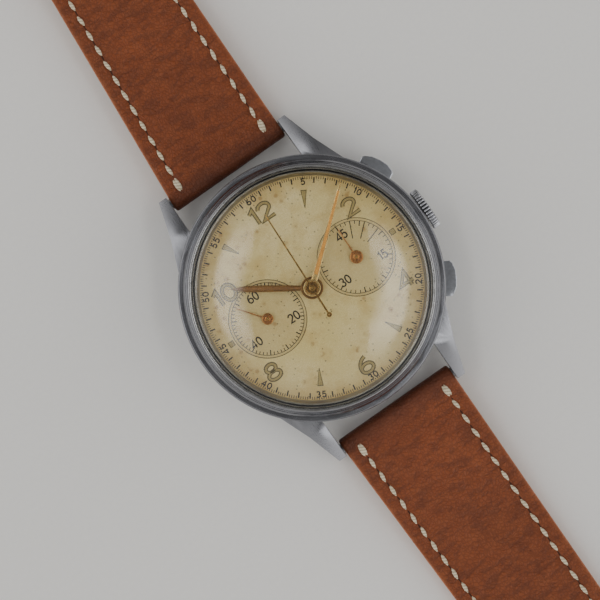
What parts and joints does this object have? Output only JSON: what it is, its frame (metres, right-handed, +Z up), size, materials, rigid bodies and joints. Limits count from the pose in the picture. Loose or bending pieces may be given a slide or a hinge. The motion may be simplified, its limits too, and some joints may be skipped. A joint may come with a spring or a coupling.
{
  "type": "chronograph wristwatch",
  "caption": "Round steel chronograph wristwatch with a domed crystal, two sunk counters, rectangular push-pieces, fluted crown and stitched tan leather strap.",
  "frame": {"origin": "centre of the case back's flat resting face", "axes": "+Z up through the dial, +Y to twelve o'clock along the strap, +X to three o'clock and the crown"},
  "size_m": [0.0372, 0.2379, 0.0126],
  "materials": {
    "case_steel": "satin with polished edges",
    "bezel_steel": "fine circular brushing, polished lip",
    "ring_steel": "satin",
    "acrylic": "clear, domed, lightly scratched",
    "back_steel": "circular satin",
    "gasket": "matt",
    "dial_paint": "aged cream varnish",
    "hand_gold": "gilt, worn",
    "crown_steel": "fluted, polished",
    "pusher_steel": "satin top, polished bevels",
    "rose_plate": "rose gilt, straight grained",
    "wheel_brass": "gilt",
    "movement_steel": "grained",
    "blued_steel": "blued",
    "spring_steel": "drawn",
    "strap_leather": "smooth tan calf",
    "keeper_leather": "smooth tan calf",
    "buckle_steel": "polished"
  },
  "bodies": {
    "case": {"case_middle": "case_steel", "bezel": "bezel_steel", "crystal": "acrylic", "crystal_ring": "ring_steel", "case_back": "back_steel", "case_back_gasket": "gasket", "dial": "dial_paint", "movement_ring": "ring_steel", "crown_tube": "crown_steel", "pusher_tubes": "pusher_steel", "start_pusher_spring": "spring_steel", "reset_pusher_spring": "spring_steel", "main_plate": "rose_plate", "barrel_bridge": "rose_plate", "train_bridge": "rose_plate", "pallet_bridge": "rose_plate", "balance_cock": "rose_plate", "bridge_screws": "blued_steel", "spring_bar_upper": "spring_steel", "spring_bar_lower": "spring_steel"},
    "keyless_works": {"winding_pinion": "movement_steel", "clutch_wheel": "movement_steel"},
    "crown_and_stem": {"crown": "crown_steel", "winding_stem": "crown_steel"},
    "start_pusher": {"start_pusher": "pusher_steel"},
    "reset_pusher": {"reset_pusher": "pusher_steel"},
    "barrel": {"barrel_drum": "wheel_brass", "mainspring": "spring_steel"},
    "ratchet_wheel": {"ratchet_wheel": "movement_steel"},
    "crown_wheel": {"crown_wheel": "movement_steel"},
    "click": {"click": "movement_steel"},
    "centre_arbor": {"centre_wheel": "wheel_brass", "cannon_pinion": "wheel_brass", "minute_hand": "hand_gold"},
    "third_wheel": {"third_wheel": "wheel_brass"},
    "fourth_arbor": {"fourth_wheel": "wheel_brass", "seconds_hand": "hand_gold"},
    "escape_wheel": {"escape_wheel": "movement_steel"},
    "pallet_fork": {"pallet_fork": "movement_steel"},
    "balance": {"balance_wheel": "wheel_brass", "hairspring": "blued_steel"},
    "minute_wheel": {"minute_wheel": "wheel_brass"},
    "hour_arbor": {"hour_wheel": "wheel_brass", "hour_hand": "hand_gold"},
    "chronograph_arbor": {"chronograph_runner": "wheel_brass", "chronograph_hand": "hand_gold"},
    "counter_arbor": {"minute_recorder": "wheel_brass", "minute_counter_hand": "hand_gold"},
    "coupling_lever": {"coupling_lever": "movement_steel"},
    "coupling_wheel": {"coupling_wheel": "wheel_brass"},
    "column_wheel": {"column_wheel": "movement_steel"},
    "operating_lever": {"operating_lever": "movement_steel"},
    "reset_hammer": {"reset_hammer": "movement_steel"},
    "strap_upper": {"strap_buckle_side": "strap_leather", "keeper_fixed": "keeper_leather"},
    "loose_keeper": {"keeper_loose": "keeper_leather"},
    "buckle": {"buckle_frame": "buckle_steel", "buckle_bar": "buckle_steel"},
    "tongue": {"buckle_tongue": "buckle_steel"},
    "strap_lower": {"strap_tip_side": "strap_leather"}
  },
  "joints": [
    {"name": "crown_turn", "type": "hinge", "parent": "case", "child": "keyless_works", "pos_m": [0.011, 0, 0.0044], "axis": [1, 0, 0], "continuous": true},
    {"name": "crown_pull", "type": "slide", "parent": "keyless_works", "child": "crown_and_stem", "axis": [1, 0, 0], "range_m": [0, 0.0009]},
    {"name": "crown_wheel_turn", "type": "hinge", "parent": "case", "child": "crown_wheel", "pos_m": [0.00809, 0.0026, 0.0029], "axis": [0, 0, 1], "continuous": true},
    {"name": "ratchet_turn", "type": "hinge", "parent": "case", "child": "ratchet_wheel", "pos_m": [0.00179, 0.00667, 0.0029], "axis": [0, 0, 1], "continuous": true},
    {"name": "click_rock", "type": "hinge", "parent": "case", "child": "click", "pos_m": [-0.0042, 0.0047, 0.0029], "axis": [0, 0, 1], "range_deg": [-4, 4]},
    {"name": "start_push", "type": "slide", "parent": "case", "child": "start_pusher", "axis": [-0.891, -0.454, 0], "range_m": [0, 0.0008], "stiffness_N_per_m": 400, "springref_m": -0.0005, "deforming": ["start_pusher_spring"]},
    {"name": "reset_push", "type": "slide", "parent": "case", "child": "reset_pusher", "axis": [-0.8572, 0.515, 0], "range_m": [0, 0.0008], "stiffness_N_per_m": 400, "springref_m": -0.0005, "deforming": ["reset_pusher_spring"]},
    {"name": "operating_lever_rock", "type": "hinge", "parent": "case", "child": "operating_lever", "pos_m": [0.01015, 0.0091, 0.0015], "axis": [0, 0, 1], "range_deg": [-15, 15]},
    {"name": "column_wheel_step", "type": "hinge", "parent": "case", "child": "column_wheel", "pos_m": [0.0035, 0.007, 0.0019], "axis": [0, 0, 1], "range_deg": [-40, 40]},
    {"name": "coupling_lever_rock", "type": "hinge", "parent": "case", "child": "coupling_lever", "pos_m": [-0.0056, 0.0052, 0.0015], "axis": [0, 0, 1], "range_deg": [-4, 4]},
    {"name": "reset_hammer_rock", "type": "hinge", "parent": "case", "child": "reset_hammer", "pos_m": [0.0131, -0.00379, 0.0015], "axis": [0, 0, 1], "range_deg": [-15, 15]},
    {"name": "minute_turn", "type": "hinge", "parent": "case", "child": "centre_arbor", "pos_m": [0, 0, 0.0085], "axis": [0, 0, 1], "continuous": true},
    {"name": "hour_turn", "type": "hinge", "parent": "case", "child": "hour_arbor", "pos_m": [0, 0, 0.008], "axis": [0, 0, 1], "continuous": true},
    {"name": "minute_wheel_turn", "type": "hinge", "parent": "case", "child": "minute_wheel", "pos_m": [0, -0.003, 0.0062], "axis": [0, 0, 1], "continuous": true},
    {"name": "barrel_turn", "type": "hinge", "parent": "case", "child": "barrel", "pos_m": [0.00179, 0.00667, 0.0048], "axis": [0, 0, 1], "continuous": true},
    {"name": "third_wheel_turn", "type": "hinge", "parent": "case", "child": "third_wheel", "pos_m": [-0.00405, -0.00285, 0.0043], "axis": [0, 0, 1], "continuous": true},
    {"name": "seconds_turn", "type": "hinge", "parent": "case", "child": "fourth_arbor", "pos_m": [-0.0072, 0, 0.0047], "axis": [0, 0, 1], "continuous": true},
    {"name": "escape_wheel_turn", "type": "hinge", "parent": "case", "child": "escape_wheel", "pos_m": [-0.0084, -0.00331, 0.004], "axis": [0, 0, 1], "continuous": true},
    {"name": "coupling_wheel_turn", "type": "hinge", "parent": "coupling_lever", "child": "coupling_wheel", "pos_m": [-0.0043, 0.00093, 0.002], "axis": [0, 0, 1], "continuous": true},
    {"name": "pallet_rock", "type": "hinge", "parent": "case", "child": "pallet_fork", "pos_m": [-0.00713, -0.00551, 0.004], "axis": [0, 0, 1], "range_deg": [-6, 6]},
    {"name": "balance_swing", "type": "hinge", "parent": "case", "child": "balance", "pos_m": [-0.00535, -0.00859, 0.0033], "axis": [0, 0, 1], "range_deg": [-270, 270], "stiffness_Nm_per_rad": 0.00000002},
    {"name": "chronograph_turn", "type": "hinge", "parent": "case", "child": "chronograph_arbor", "pos_m": [0, 0, 0.0091], "axis": [0, 0, 1], "continuous": true},
    {"name": "counter_turn", "type": "hinge", "parent": "case", "child": "counter_arbor", "pos_m": [0.0072, 0, 0.0074], "axis": [0, 0, 1], "continuous": true},
    {"name": "strap_upper_swing", "type": "hinge", "parent": "case", "child": "strap_upper", "pos_m": [0, 0.0203, 0.0027], "axis": [1, 0, 0], "range_deg": [-80, 70]},
    {"name": "strap_lower_swing", "type": "hinge", "parent": "case", "child": "strap_lower", "pos_m": [0, -0.0203, 0.0027], "axis": [1, 0, 0], "range_deg": [-70, 80]},
    {"name": "keeper_slide", "type": "slide", "parent": "strap_upper", "child": "loose_keeper", "axis": [0, 1, 0], "range_m": [-0.008, 0.005]},
    {"name": "buckle_swing", "type": "hinge", "parent": "strap_upper", "child": "buckle", "pos_m": [0.00179, 0.0923, 0.0022], "axis": [1, 0, 0], "range_deg": [-60, 45]},
    {"name": "tongue_swing", "type": "hinge", "parent": "buckle", "child": "tongue", "pos_m": [0.00179, 0.0923, 0.0022], "axis": [1, 0, 0], "range_deg": [0, 90]}
  ],
  "couplings": [
    {"joint": "crown_wheel_turn", "follows": "crown_turn", "ratio": -0.66667},
    {"joint": "ratchet_turn", "follows": "crown_turn", "ratio": 0.31372},
    {"joint": "operating_lever_rock", "follows": "start_push", "rad_per_m": -285.71},
    {"joint": "column_wheel_step", "follows": "start_push", "rad_per_m": 654.5},
    {"joint": "coupling_lever_rock", "follows": "start_push", "rad_per_m": 47.997},
    {"joint": "reset_hammer_rock", "follows": "reset_push", "rad_per_m": -285.71},
    {"joint": "hour_turn", "follows": "minute_turn", "ratio": 0.083333},
    {"joint": "minute_wheel_turn", "follows": "minute_turn", "ratio": -0.33333},
    {"joint": "barrel_turn", "follows": "minute_turn", "ratio": -0.15},
    {"joint": "third_wheel_turn", "follows": "minute_turn", "ratio": -8},
    {"joint": "seconds_turn", "follows": "minute_turn", "ratio": 60},
    {"joint": "escape_wheel_turn", "follows": "minute_turn", "ratio": -600},
    {"joint": "coupling_wheel_turn", "follows": "minute_turn", "ratio": -86.4},
    {"joint": "counter_turn", "follows": "chronograph_turn", "ratio": 0.022222}
  ]
}
